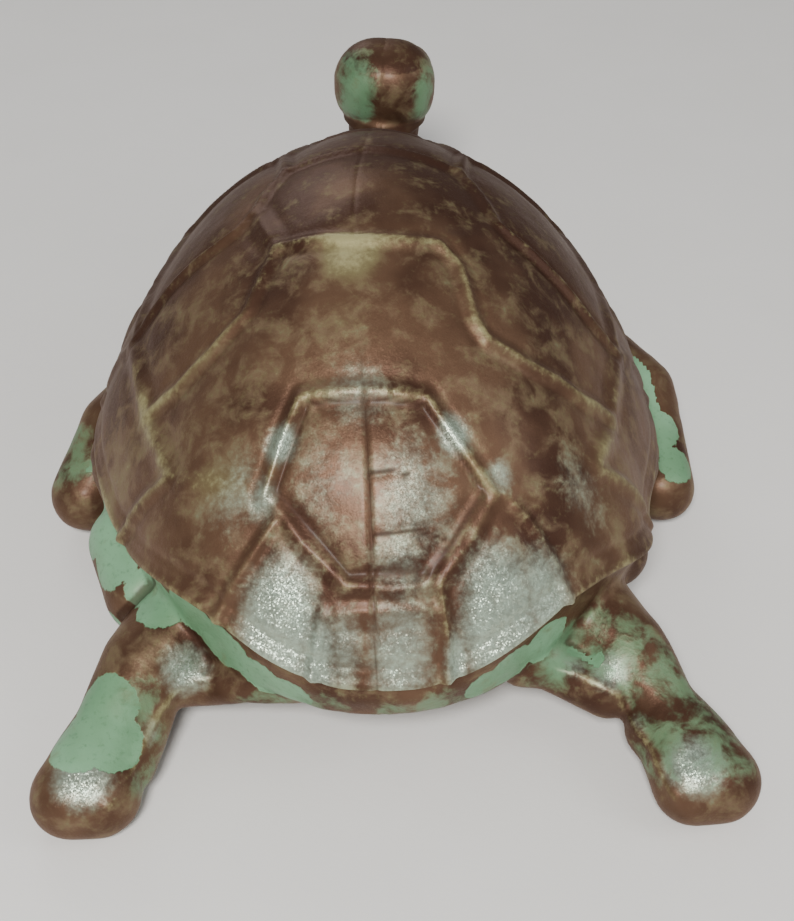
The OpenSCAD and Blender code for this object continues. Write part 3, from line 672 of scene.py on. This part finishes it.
class Graph:
    """A material's node tree, with short calls to add and link nodes."""

    def __init__(self, name):
        self.material = bpy.data.materials.new(name)
        self.material.use_nodes = True
        self.tree = self.material.node_tree
        self.tree.nodes.clear()
        self.shader = self.tree.nodes.new("ShaderNodeBsdfPrincipled")
        out = self.tree.nodes.new("ShaderNodeOutputMaterial")
        self.tree.links.new(self.shader.outputs[0], out.inputs[0])
        self.coords = self.tree.nodes.new("ShaderNodeTexCoord").outputs["Object"]

    def put(self, value, socket):
        """Links a socket, or sets its value."""
        if isinstance(value, bpy.types.NodeSocket):
            self.tree.links.new(value, socket)
        else:
            socket.default_value = value

    def node(self, kind, inputs, **props):
        made = self.tree.nodes.new(kind)
        for key, value in props.items():
            setattr(made, key, value)
        for key, value in inputs.items():
            self.put(value, made.inputs[key])
        return made

    def set(self, **inputs):
        """Values or links for the shader's sockets."""
        for key, value in inputs.items():
            self.put(value, self.shader.inputs[key.replace("_", " ")])

    def math(self, operation, a, b=0.0, c=0.0):
        return self.node("ShaderNodeMath", {0: a, 1: b, 2: c}, operation=operation).outputs[0]

    def vector(self, operation, *values, **named):
        """A vector operation on inputs given in order or by name."""
        inputs = {**dict(enumerate(values)), **named}
        return self.node("ShaderNodeVectorMath", inputs, operation=operation).outputs[0]

    def noise(self, size, detail=3.0, rough=0.55, coords=None, twist=0.0):
        """Noise from 0 to 1 with features of the given size in mm."""
        return self.node(
            "ShaderNodeTexNoise",
            {
                "Vector": coords or self.coords,
                "Scale": 1 / (size * MM),
                "Detail": detail,
                "Roughness": rough,
                "Distortion": twist,
            },
        ).outputs["Fac"]

    def sum(self, *terms, add=0.0):
        """Adds values, each with its weight."""
        total = add
        for value, weight in terms:
            total = self.math("MULTIPLY_ADD", value, weight, total)
        return total

    def flaked(self, normal, size, tilt):
        """Tilts the normal at random in small cells, as metal flakes in paint do."""
        made = self.node("ShaderNodeTexVoronoi", {"Vector": self.coords, "Scale": 1 / (size * MM)})
        lean = self.vector("SUBTRACT", made.outputs["Color"], (0.5, 0.5, 0.5))
        lean = self.vector("SCALE", lean, Scale=tilt)
        return self.vector("NORMALIZE", self.vector("ADD", normal, lean))

    def field(self, name):
        """A float field of the mesh."""
        return self.node("ShaderNodeAttribute", {}, attribute_name=name).outputs["Fac"]

    def band(self, value, low, high, to_low=0.0, to_high=1.0):
        """Smooth step of a value between low and high."""
        return self.node(
            "ShaderNodeMapRange",
            {"Value": value, "From Min": low, "From Max": high, "To Min": to_low, "To Max": to_high},
            interpolation_type="SMOOTHSTEP",
        ).outputs[0]

    def mix(self, share, a, b):
        """Colour a, with a share of colour b."""
        made = self.tree.nodes.new("ShaderNodeMix")
        made.data_type = "RGBA"
        self.put(share, made.inputs[0])
        self.put(a, made.inputs[6])
        self.put(b, made.inputs[7])
        return made.outputs[2]

    def relief(self, height, depth, normal=None):
        """Bump of the given depth in mm."""
        inputs = {"Height": height, "Distance": depth * MM, "Strength": 1.0}
        if normal is not None:
            inputs["Normal"] = normal
        return self.node("ShaderNodeBump", inputs).outputs[0]


# Colours of the worn paint
GREEN_LIGHT = srgb(118, 160, 126)
GREEN_MID = srgb(96, 136, 102)
GREEN_DARK = srgb(62, 96, 66)
PAINT_LIGHT = srgb(117, 99, 77)
PAINT_MID = srgb(92, 69, 53)
PAINT_DARK = srgb(60, 39, 30)
OLIVE = srgb(110, 102, 71)
OLIVE_PALE = srgb(160, 154, 112)
# Painted sheen: the glint of the lamp on burnished flakes, painted into the colour
PAINTED_SHEEN = srgb(178, 196, 178)
# Dark brown of grime, also used as painted shade
DIRT_AND_SHADE = srgb(46, 26, 18)


def paint_colour(wide, mid, fine, wear_and_shade, g):
    """Brown paint, lighter and more olive in blotches and where it is worn, and deeper in tone where the
    wear field carries painted shade.
    """
    paint = g.mix(g.band(g.sum((wide, 1), (wear_and_shade, 0.3)), 0.34, 0.66), PAINT_DARK, PAINT_MID)
    paint = g.mix(g.band(g.sum((mid, 1), (wear_and_shade, 0.2)), 0.44, 0.72, 0, 0.7), paint, PAINT_LIGHT)
    return g.mix(g.band(g.sum((fine, 0.5), (mid, 0.5)), 0.5, 0.66, 0, 0.4), paint, OLIVE)


def green_colour(wide, mid, fine, veiled, g):
    """Green celluloid, darker in fine spots and under thin paint."""
    green = g.mix(g.band(wide, 0.35, 0.7), GREEN_MID, GREEN_LIGHT)
    green = g.mix(g.band(fine, 0.52, 0.8, 0, 0.5), green, GREEN_DARK)
    green = g.mix(g.band(mid, 0.58, 0.74, 0, 0.4), green, OLIVE)
    return g.mix(g.math("MULTIPLY", veiled, 0.4), green, GREEN_DARK)


def worn_paint(name, edge_width):
    """Brown metallic paint over green celluloid. The bare field shows the green in flakes
    and the veil field softly; the ridge and wear fields wear the paint thin, and where the
    wear field is below 0 it is painted shade; the gloss field burnishes the flakes and adds a
    painted sheen, and the groove field holds grime and painted shade."""
    g = Graph(name)
    wide = g.noise(9, 3, 0.5)
    mid = g.noise(2.6, 4, 0.6, twist=0.4)
    fine = g.noise(0.55, 3, 0.6)
    ridge, wear_and_shade = g.field("ridge"), g.field("wear_and_shade")

    # Where the paint has flaked off or is only a veil
    ragged = g.sum((mid, 0.32), (fine, 0.16))
    flaking = g.sum((g.field("bare"), 1), (ragged, 1), add=-0.24)
    veiled = g.band(g.sum((g.field("veil"), 1), (mid, 1.5), (fine, 0.35)), 1.15, 1.7, 0, 0.85)
    bare = g.math("MAXIMUM", g.band(flaking, 0.5 - edge_width, 0.5 + edge_width), veiled)
    painted = g.math("SUBTRACT", 1.0, bare)
    # Where it is worn thin (on the rim's bead this is a painted highlight), where its flakes are burnished
    # with a painted sheen, and where grime and painted shade lie
    rub = g.sum((ridge, 0.45), (wear_and_shade, 0.8), (wide, 0.5), (mid, 0.5), (fine, 0.3))
    thin = g.band(rub, 0.82, 1.45, 0, 0.9)
    crest = g.band(g.sum((ridge, 0.85), (wear_and_shade, 0.75), (fine, 1.2), (mid, 0.9)), 1.6, 2.5, 0, 0.75)
    gloss_and_sheen = g.band(g.sum((g.field("gloss_and_painted_sheen"), 1), (mid, 0.7), (fine, 0.4)), 0.66, 1.6)
    grime_and_shade = g.band(g.sum((g.field("groove"), 1), (fine, 0.35)), 0.45, 1.15, 0, 0.72)

    colour = g.mix(thin, paint_colour(wide, mid, fine, wear_and_shade, g), OLIVE)
    colour = g.mix(crest, colour, OLIVE_PALE)
    # Painted sheen on the burnished flakes
    colour = g.mix(g.math("MULTIPLY", gloss_and_sheen, g.sum((fine, 0.8), add=0.3)), colour, PAINTED_SHEEN)
    colour = g.mix(bare, colour, green_colour(wide, mid, fine, veiled, g))
    # Grime, and painted shade in the gutters, creases, hollows and neck
    colour = g.mix(grime_and_shade, colour, DIRT_AND_SHADE)
    metal = g.math("MULTIPLY", painted, g.sum((thin, -0.25), (gloss_and_sheen, 0.35), add=0.42))
    rough = g.sum((mid, 0.22), (fine, 0.12), (gloss_and_sheen, -0.1), (grime_and_shade, 0.25), add=0.3)
    g.set(Base_Color=colour, Metallic=metal, Roughness=rough)
    g.shader.inputs["Specular IOR Level"].default_value = 0.32
    g.shader.inputs["Specular Tint"].default_value = (0.85, 0.6, 0.48, 1)
    g.shader.inputs["Coat Weight"].default_value = 0.06
    g.shader.inputs["Coat Roughness"].default_value = 0.25

    bumps = g.relief(g.noise(1.5, 3, 0.55), 0.07)
    bumps = g.relief(g.noise(0.17, 2, 0.6), 0.014, bumps)
    bumps = g.relief(painted, 0.05, bumps)
    tilt = g.math("MULTIPLY", painted, g.sum((gloss_and_sheen, 0.32), add=0.08))
    g.set(Normal=g.flaked(bumps, 0.12, tilt))
    return g.material


def worked_metal(name, light, dark, stain, rough, grain, streak):
    """Metal with tarnish, fine directional scratches and dull spots."""
    g = Graph(name)
    wide = g.noise(4, 3)
    dull = g.noise(0.7, 3, 0.6)
    brushed = g.noise(grain, 2, 0.6, coords=g.vector("MULTIPLY", g.coords, streak))
    colour = g.mix(g.band(wide, 0.36, 0.66), srgb(*dark), srgb(*light))
    colour = g.mix(g.band(dull, 0.56, 0.76, 0, 0.7), colour, srgb(*stain))
    colour = g.mix(g.band(brushed, 0.45, 0.7, 0, 0.25), colour, srgb(*light))
    roughness = g.sum((brushed, 0.22), (g.band(dull, 0.55, 0.75, 0, 0.2), 1), add=rough)
    g.set(Base_Color=colour, Metallic=0.95, Roughness=roughness)
    g.set(Normal=g.relief(brushed, 0.006, g.relief(dull, 0.012)))
    return g.material


def cast_metal(name):
    """Rough grey casting with patches of rust."""
    g = Graph(name)
    lumps = g.noise(0.8, 4, 0.65)
    rust = g.band(g.noise(2.2, 4, 0.6), 0.52, 0.68, 0, 0.7)
    colour = g.mix(g.band(lumps, 0.35, 0.7), srgb(62, 62, 64), srgb(96, 95, 94))
    colour = g.mix(rust, colour, srgb(104, 66, 44))
    rough = g.sum((lumps, 0.3), add=0.45)
    g.set(Base_Color=colour, Metallic=g.math("SUBTRACT", 0.8, rust), Roughness=rough)
    g.set(Normal=g.relief(lumps, 0.05))
    return g.material


def moulded_rubber(name):
    """Black rubber with dust on it."""
    g = Graph(name)
    dust = g.band(g.noise(2, 4, 0.65), 0.48, 0.72, 0, 0.55)
    fine = g.noise(0.25, 3, 0.6)
    colour = g.mix(g.band(fine, 0.3, 0.7), srgb(30, 28, 27), srgb(46, 43, 41))
    colour = g.mix(dust, colour, srgb(104, 98, 88))
    g.set(Base_Color=colour, Roughness=g.sum((dust, 0.3), add=0.62))
    g.set(Normal=g.relief(fine, 0.02))
    return g.material


def paper_floor(name):
    """Pale paper with a slight tooth."""
    g = Graph(name)
    colour = g.mix(g.noise(14, 3), srgb(226, 224, 220), srgb(232, 230, 227))
    g.set(Base_Color=colour, Roughness=0.85)
    g.set(Normal=g.relief(g.noise(0.9, 2), 0.02))
    return g.material


# Metals: their light, dark and stained colours
TIN = ((198, 197, 190), (150, 149, 143), (120, 108, 92))
BRASS = ((206, 168, 98), (158, 120, 66), (96, 74, 46))
STEEL = ((168, 169, 172), (112, 113, 116), (92, 78, 64))
BLUED = ((86, 98, 132), (52, 58, 82), (70, 56, 48))
# One material for each slot of the record
MATERIALS = {
    "shell": worn_paint("shell_paint", 0.012),
    "body": worn_paint("body_paint", 0.02),
    "head": worn_paint("head_paint", 0.09),
    "iron": cast_metal("slug_iron"),
    "tin": worked_metal("tinplate", *TIN, 0.26, 0.3, (1, 6, 6)),
    "brass": worked_metal("clock_brass", *BRASS, 0.24, 0.25, (6, 6, 1)),
    "steel": worked_metal("turned_steel", *STEEL, 0.24, 0.2, (1, 1, 9)),
    "spring": worked_metal("blued_steel", *BLUED, 0.22, 0.3, (1, 1, 8)),
    "tyre": moulded_rubber("tyre_rubber"),
}


# Pieces ------------------------------------------------------------------


def make_carapace():
    for side, node in ((-1, "carapace_left"), (1, "carapace_right")):
        points, faces, fields = carapace_half(side)
        name = node.replace("carapace", "shell")
        shell = mesh_piece(name, held_in(points, cad_box), faces, fields)
        finish_piece(shell, "root", "shell", node)


# Places on the body in mm: (x, y, z, radius)
BARE_LEFT = [
    (-28, -20, 12.4, 3.4), (-25.6, -25, 12.6, 3), (-26, -28.4, 7.4, 1.5), (-23, -29, 13.4, 2.4),
    (-20.6, -31.6, 13.2, 2.6), (-17.4, -35, 15.4, 3), (-14.6, -37.4, 13.6, 3.2), (-11, -39.4, 11.8, 2.6),
    (-8.4, -41.2, 11.4, 2.2), (-25.2, -40.4, 9, 3), (-27.2, -43.6, 8, 3.1), (-24.4, -43.6, 7.8, 3),
]
BARE_RIGHT = [
    (9.4, -41.8, 11.6, 2.2), (12.4, -40, 12.4, 2.8), (15.4, -37.4, 13.2, 2.9),
    (31.2, -2.4, 10.4, 2.4), (32.8, -6, 8.2, 2.2), (25.2, -27, 11, 1.3),
]
# Places where the paint is only veiled or mottled
VEILED = [
    (-5.4, -42.4, 10.6, 2), (5.6, -43, 10.6, 2.2), (1, -43.8, 10.2, 1.4), (-22, -43.6, 5.6, 2.6),
    (-22.6, -39.4, 8.4, 1.8), (-31, -4, 8, 3.4), (21.6, -35, 10.6, 3.2), (25.4, -38.6, 9.4, 3.6),
    (28.4, -41.6, 8.4, 3.4), (30.6, -44.6, 6.8, 2.6), (26.4, -43.6, 6.4, 3), (-10, -38, 6.8, 2.6),
]
SOFT_GREEN = [(17.4, -35, 10.8, 2.2), (15.8, -37, 10, 2), (20, -35.4, 10, 1.2)]
# Glossy places on the body, which also get a painted sheen and painted highlights
GLOSS_AND_SHEEN_BODY = [
    (-18.4, -36.4, 9.4, 2.6), (-26.8, -47, 7, 3), (17.6, -36.6, 11, 2.2), (21.2, -37.2, 9.6, 2),
    (28, -46.4, 7, 3), (-20.4, -42.4, 7.6, 1.6), (22.8, -41.6, 8.2, 1.6),
]
RUBBED_BODY = [
    (-22.6, -36, 10, 3.4), (-20.5, -42, 5, 3), (24, -30, 11, 3), (-30, -2, 10, 4), (33.5, -6.5, 5, 3),
]
# Inner edges of the hind legs, worn to a pale line, and the crease beside the left thigh, which is also
# painted with shade
LEG_EDGES = [
    [
        (-16.5, -36.9, 8.7), (-19.3, -38.2, 8.2), (-20.6, -40.1, 7.5),
        (-21.6, -42.5, 7), (-22.7, -45.6, 6.3), (-24.4, -49, 5.4),
    ],
    [
        (15, -37.2, 10), (18.2, -37.4, 9.3), (21.7, -38.9, 8.2),
        (22.4, -39.6, 6.8), (24.6, -44.3, 6.1), (26.1, -48.4, 4.8),
    ],
]
CREASES = [[(-21.5, -29, 14.1), (-22.4, -28.7, 12.2), (-23.3, -29.5, 11.4), (-25, -29.4, 9.1)]]
# A veil of this strength is mottled; only SOFT_GREEN is more open
VEIL_CAP = 0.44


def make_underbody():
    nodes = ("underbody_left", "underbody_right")
    points, edges, faces = remeshed(nodes, BODY_VOXEL)
    points = relaxed(points, edges, SMOOTHING)
    normal = point_normals(points, faces)
    outward = points - HOLLOW_AT
    points = points + normal * lumpiness(points, BODY_LUMPS)[:, None]
    inside = ((outward * normal).sum(axis=1) < 0) & (points[:, 2] > HOLLOW_FROM)
    hollow = hollowness(points, edges, normal)
    seam = hill(points[:, 0], BODY_SEAM[1])
    worn = near_paths(points, LEG_EDGES, LEG_EDGE[1])
    crease = near_paths(points, CREASES, CREASE[1])
    move = LEG_EDGE[0] * worn + CREASE[0] * crease + BODY_SEAM[0] * seam
    points = points + normal * move[:, None]

    bare = np.maximum(ball_field(points, BARE_LEFT + BARE_RIGHT), BODY_BARE)
    veil = np.minimum(ball_field(points, VEILED), VEIL_CAP) * (1 - worn)
    # The body's seam is darkened; the thigh's crease and the hollows between the limbs get painted shade
    grime_and_shade = np.max([0.5 * seam, 1.6 * crease, ramp(hollow, 0.04, 0.1)], axis=0)
    fields = {
        "bare": np.where(inside, 1.0, bare),
        "veil": np.maximum(veil, 0.9 * ball_field(points, SOFT_GREEN)),
        # Glossy places, which also get a painted sheen
        "gloss_and_painted_sheen": 1.4 * np.clip(ball_field(points, GLOSS_AND_SHEEN_BODY) - 0.3, 0, 1),
        "wear_and_shade": 0.5 * ball_field(points, RUBBED_BODY),
        "ridge": np.maximum(worn, ramp(-hollow, 0.1, 0.12)),
        "groove": np.minimum(grime_and_shade, 1),
    }
    names = ("body_left", "body_right")
    cut_pair(held_in(points, cad_box), faces, fields, nodes, names, (1, 0, 0), "root", "body")


def turned_about_pin(points, angle):
    """Points turned about the upright line through the head's pin."""
    c, s = math.cos(math.radians(angle)), math.sin(math.radians(angle))
    q = points - PIN
    return np.stack([c * q[:, 0] - s * q[:, 1], s * q[:, 0] + c * q[:, 1], q[:, 2]], axis=1) + PIN


def make_head():
    nodes = ("head_left", "head_right")
    points, edges, faces = remeshed(nodes, HEAD_VOXEL)
    local = relaxed(turned_about_pin(points, HEAD_TURN), edges, SMOOTHING)
    local, fields = sculpt_head(barrelled(local), edges, faces)
    low, high = zip(*(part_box(node) for node in nodes))
    box = [min(a, b) for a, b in zip(*low)], [max(a, b) for a, b in zip(*high)]
    points = held_in(turned_about_pin(local, -HEAD_TURN), box)
    turn = math.radians(-HEAD_TURN)
    across = (math.cos(turn), math.sin(turn), 0)
    names = ("head_half_left", "head_half_right")
    cut_pair(points, faces, fields, nodes, names, across, "head", "head")


def squared(q, power, start, end):
    """How much to push a point of the head outwards for a barrel-like back."""
    angle = np.arctan2(q[:, 2], q[:, 0])
    corner = (np.abs(np.cos(angle)) ** power + np.abs(np.sin(angle)) ** power) ** (-1 / power) - 1
    return corner * np.clip((end - q[:, 1]) / (end - start), 0, 1)


def barrelled(p):
    """The head with its back squared, more below the middle than above it."""
    q = p - HEAD_AT
    power = np.where(q[:, 2] < 0, 3.2, 2.0)
    grow = squared(q, power, 2.5, 5.5) * ramp(q[:, 2], -5.2, 0.8)
    return p + np.stack([q[:, 0] * grow, 0 * grow, 0.6 * q[:, 2] * grow], axis=1)


def sculpt_head(p, edges, faces):
    """Adds the eyes, nostrils, mouth and seam, and says where the paint is worn."""
    q = p - HEAD_AT
    across, along, up = q[:, 0], q[:, 1], q[:, 2]
    mirrored = np.stack([np.abs(across), along, up], axis=1)
    normal = point_normals(p, faces)
    outside = ((normal * q).sum(axis=1) > 0) | (up < NECK_TOP)
    eye = np.linalg.norm(mirrored - EYE, axis=1)
    lid, socket = hill(eye - LID_R, LID_W), hill(eye - SOCKET_R, SOCKET_W)
    eyeball = hill(eye, EYEBALL_R)
    nostril = hill(np.linalg.norm(mirrored - NOSTRIL, axis=1), NOSTRIL_R)
    above_mouth = up + 1.9 + 0.12 * (along - 4)
    mouth = hill(above_mouth, MOUTH_W) * ramp(along, 0.8, 1.5)
    seam = hill(across, HEAD_SEAM_W)
    move = LID_H * lid + EYEBALL_H * eyeball - NOSTRIL_DEPTH * nostril
    move = move - MOUTH_DEPTH * mouth - HEAD_SEAM_DEPTH * seam
    p = p + normal * ((move + lumpiness(p, HEAD_LUMPS)) * outside)[:, None]

    on_skull = ramp(up, -4.1, 0.6)
    left_cheek = 0.75 * plateau(across + 2.9, 2.7) * plateau(up + 0.2, 4.4)
    right_cheek = 0.7 * hill(across - 5, 1.3) * plateau(up + 0.8, 3.6)
    crease = ramp(hollowness(p, edges, normal), 0, 0.12)
    # The mouth, nostrils, eye sockets and seam are darkened; the creases get painted shade, and so does the
    # whole neck, which lies in the shell's shadow
    grime_and_shade = np.max([mouth, nostril, 0.8 * socket, 0.3 * seam, crease, 1 - on_skull], axis=0)
    fields = {
        "bare": np.where(outside, 0.0, 1.0),
        "veil": np.maximum(left_cheek, right_cheek) * on_skull * outside,
        "ridge": 0.5 * lid * outside,
        "wear_and_shade": 0.3 * hill(across - 1.4, 2.4) * on_skull - 0.5 * (up > 3),
        "gloss_and_painted_sheen": np.zeros(len(p)),
        "groove": grime_and_shade * outside,
    }
    return p, fields


def dress_mechanism():
    """Materials and softened edges for the CAD nodes that are shown as they are."""
    for entry in frame["record"]["materials"]:
        for name in entry.get("nodes", []):
            node = frame["nodes"][name]
            if node.hide_render:
                continue
            node.data.materials.clear()
            node.data.materials.append(MATERIALS[entry["slot"]])
            edges = node.modifiers.new("edges", "BEVEL")
            edges.width = EDGE_W * MM
            edges.segments = 2
            edges.limit_method = "ANGLE"
            edges.angle_limit = EDGE_ANGLE


def make_stage():
    half = FLOOR_HALF
    corners = [(-half, -half, 0), (half, -half, 0), (half, half, 0), (-half, half, 0)]
    mesh = bpy.data.meshes.new("floor")
    mesh.from_pydata(corners, [], [(0, 1, 2, 3)])
    floor = placed("floor", mesh)
    mesh.materials.append(paper_floor("floor_paper"))


def area_light(name, place, size, power, colour):
    """A round soft light at a place in metres, aimed at the middle of the toy."""
    light = bpy.data.lights.new(name, "AREA")
    light.shape = "DISK"
    light.size = size
    light.energy = power
    light.color = colour
    obj = placed(name, light)
    obj.location = place
    obj.rotation_mode = "QUATERNION"
    obj.rotation_quaternion = (Vector(LIT) - Vector(place)).to_track_quat("-Z", "Y")


def make_lights():
    area_light("key", (-0.04, -0.3, 0.31), 0.09, 2.15, (1, 0.985, 0.96))
    area_light("fill", (0.55, -0.2, 0.45), 0.4, 1.0, (0.97, 0.98, 1))
    area_light("front", (-0.25, 0.6, 0.4), 0.4, 1.1, (0.97, 0.98, 1))
    world = bpy.data.worlds.new("studio")
    world.use_nodes = True
    sky = world.node_tree.nodes["Background"]
    sky.inputs["Color"].default_value = (0.94, 0.95, 0.96, 1)
    sky.inputs["Strength"].default_value = 0.3
    bpy.context.scene.world = world


def make_camera():
    """The photograph's camera: behind and above, a little to the left, rolled slightly."""
    bearing, height, roll = (math.radians(a) for a in (BEARING, HEIGHT, ROLL))
    level_part = math.cos(height)
    back = Vector((math.sin(bearing) * level_part, -math.cos(bearing) * level_part, math.sin(height)))
    level = (-back).cross(Vector((0, 0, 1))).normalized()
    above = level.cross(-back)
    right = level * math.cos(roll) + above * math.sin(roll)
    up = above * math.cos(roll) - level * math.sin(roll)
    place = (Vector(AIM) + back * DISTANCE) * MM
    data = bpy.data.cameras.new("camera")
    data.lens = LENS
    data.sensor_width = SENSOR
    data.clip_start = 0.01
    camera = placed("camera", data)
    turn = Matrix((right, up, back)).transposed().to_4x4()
    camera.matrix_world = Matrix.Translation(place) @ turn
    bpy.context.scene.camera = camera


make_camera()
make_carapace()
make_underbody()
make_head()
dress_mechanism()
make_stage()
make_lights()
